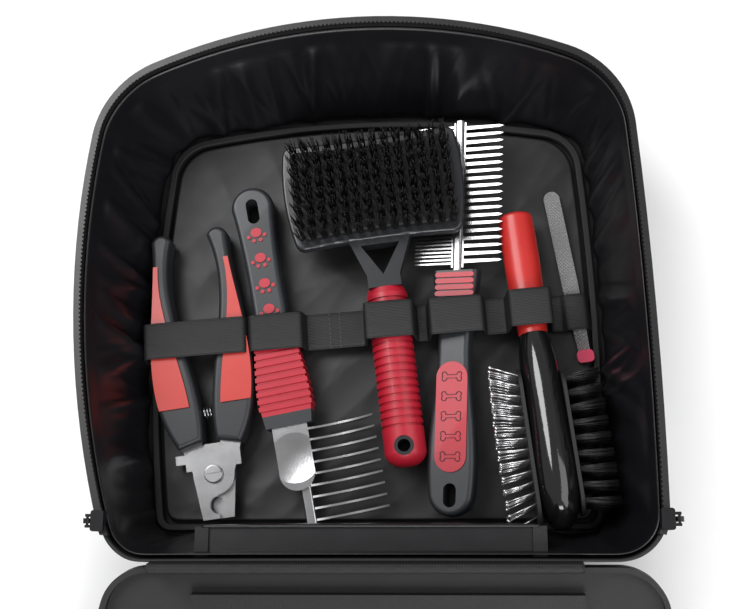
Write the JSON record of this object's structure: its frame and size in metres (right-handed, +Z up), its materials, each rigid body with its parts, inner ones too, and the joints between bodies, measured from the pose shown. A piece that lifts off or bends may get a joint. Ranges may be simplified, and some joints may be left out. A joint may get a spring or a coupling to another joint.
{
  "type": "pet grooming kit",
  "caption": "Soft zipped case lying open, its lid folded back, with clippers, a dematting rake, brushes, a comb and a nail file held under an elastic band.",
  "frame": {"origin": "on the underside of the tray's base, below the middle of the tool panel's width", "axes": "+Z up out of the tray, +Y from the lid's hinge to the tray's rounded end, +X to the right of the tools seen from above"},
  "size_m": [0.2663, 0.5021, 0.0678],
  "materials": {
    "case_cloth": "woven nylon, padded",
    "lining": "satin nylon lining",
    "binding": "grosgrain binding",
    "zip_tape": "woven zip tape",
    "zip_teeth": "moulded zip coil",
    "zip_metal": "satin black",
    "elastic": "ribbed elastic webbing",
    "blade_steel": "polished",
    "screw_steel": "plated",
    "clipper_plastic": "moulded",
    "clipper_rubber": "soft grip",
    "handle_plastic": "moulded grey",
    "red_rubber": "ribbed soft grip",
    "head_plastic": "moulded",
    "pad_rubber": "matt",
    "bristle": "nylon bristle",
    "pin_steel": "round-tipped pins",
    "duo_gloss": "gloss",
    "duo_red": "soft grip",
    "file_steel": "cross-cut",
    "file_plastic": "moulded"
  },
  "bodies": {
    "tray": {"tray_base": "case_cloth", "tray_wall": "case_cloth", "tray_zip_tape": "zip_tape", "tray_zip_teeth": "zip_teeth", "tool_panel": "lining", "panel_piping": "binding", "spine_panel": "lining", "hinge_bindings": "binding", "hinge_strip": "binding", "hinge_cord": "binding", "elastic_band": "elastic", "zip_slider_left": "zip_metal", "zip_slider_right": "zip_metal"},
    "lid": {"lid_panel": "case_cloth", "lid_wall": "case_cloth", "lid_hinge_strip": "binding", "lid_zip_tape": "zip_tape", "lid_zip_teeth": "zip_teeth", "lid_pocket": "lining", "pocket_binding": "binding", "pocket_zip": "zip_teeth"},
    "pull_left": {"zip_pull_left": "zip_metal"},
    "pull_right": {"zip_pull_right": "zip_metal"},
    "clippers": {"clipper_blade_left": "blade_steel", "clipper_handle_left": "clipper_plastic", "clipper_grip_left": "clipper_rubber", "clipper_screw": "screw_steel", "clipper_nut": "screw_steel", "clipper_spring": "screw_steel"},
    "clippers_right": {"clipper_blade_right": "blade_steel", "clipper_handle_right": "clipper_plastic", "clipper_grip_right": "clipper_rubber"},
    "clipper_guard": {"clipper_guard": "blade_steel"},
    "rake": {"rake_handle": "handle_plastic", "rake_grip": "red_rubber", "rake_collar": "handle_plastic", "rake_paw_inlays": "red_rubber", "rake_thumb_rest": "blade_steel", "rake_shaft": "blade_steel", "rake_blades": "blade_steel"},
    "brush": {"brush_head": "head_plastic", "brush_pad": "pad_rubber", "brush_bristles": "bristle", "brush_grip": "red_rubber", "brush_grommet": "head_plastic"},
    "comb": {"comb_handle": "handle_plastic", "comb_inlay": "red_rubber", "comb_spine": "blade_steel", "comb_coarse_tines": "blade_steel", "comb_fine_tines": "blade_steel"},
    "duo": {"duo_pin_side": "duo_gloss", "duo_bristle_side": "duo_gloss", "duo_pin_cushion": "pad_rubber", "duo_pins": "pin_steel", "duo_bristle_pad": "pad_rubber", "duo_bristles": "bristle", "duo_grip": "duo_red", "duo_cap": "duo_red"},
    "file": {"file_blade": "file_steel", "file_handle": "file_plastic"}
  },
  "joints": [
    {"name": "lid_hinge", "type": "hinge", "parent": "tray", "child": "lid", "pos_m": [0, -0.1265, 0.065], "axis": [1, 0, 0], "range_deg": [-191.35, 0]},
    {"name": "pull_left_swing", "type": "hinge", "parent": "tray", "child": "pull_left", "pos_m": [-0.11911, -0.107, 0.0652], "axis": [0, 1, 0], "range_deg": [0, 120]},
    {"name": "pull_right_swing", "type": "hinge", "parent": "tray", "child": "pull_right", "pos_m": [0.13177, -0.107, 0.0652], "axis": [0, -1, 0], "range_deg": [0, 120]},
    {"name": "clippers_lift", "type": "slide", "parent": "tray", "child": "clippers", "axis": [0, 0, 1], "range_m": [0, 0.12], "deforming": ["elastic_band"]},
    {"name": "clipper_squeeze", "type": "hinge", "parent": "clippers", "child": "clippers_right", "pos_m": [-0.0754, -0.0835, 0.0152], "axis": [0, 0, 1], "range_deg": [0, 8], "stiffness_Nm_per_rad": 0.4, "deforming": ["clipper_spring"]},
    {"name": "guard_swing", "type": "hinge", "parent": "clippers", "child": "clipper_guard", "pos_m": [-0.0754, -0.0835, 0.0152], "axis": [0, 0, 1], "range_deg": [0, 40]},
    {"name": "rake_lift", "type": "slide", "parent": "tray", "child": "rake", "axis": [0, 0, 1], "range_m": [0, 0.12], "deforming": ["elastic_band"]},
    {"name": "duo_lift", "type": "slide", "parent": "tray", "child": "duo", "axis": [0, 0, 1], "range_m": [0, 0.12], "deforming": ["elastic_band"]},
    {"name": "comb_lift", "type": "slide", "parent": "duo", "child": "comb", "axis": [0, 0, 1], "range_m": [0, 0.12], "deforming": ["elastic_band"]},
    {"name": "brush_lift", "type": "slide", "parent": "comb", "child": "brush", "axis": [0, 0, 1], "range_m": [0, 0.12], "deforming": ["elastic_band"]},
    {"name": "file_lift", "type": "slide", "parent": "tray", "child": "file", "axis": [0, 0, 1], "range_m": [0, 0.12], "deforming": ["elastic_band"]}
  ]
}
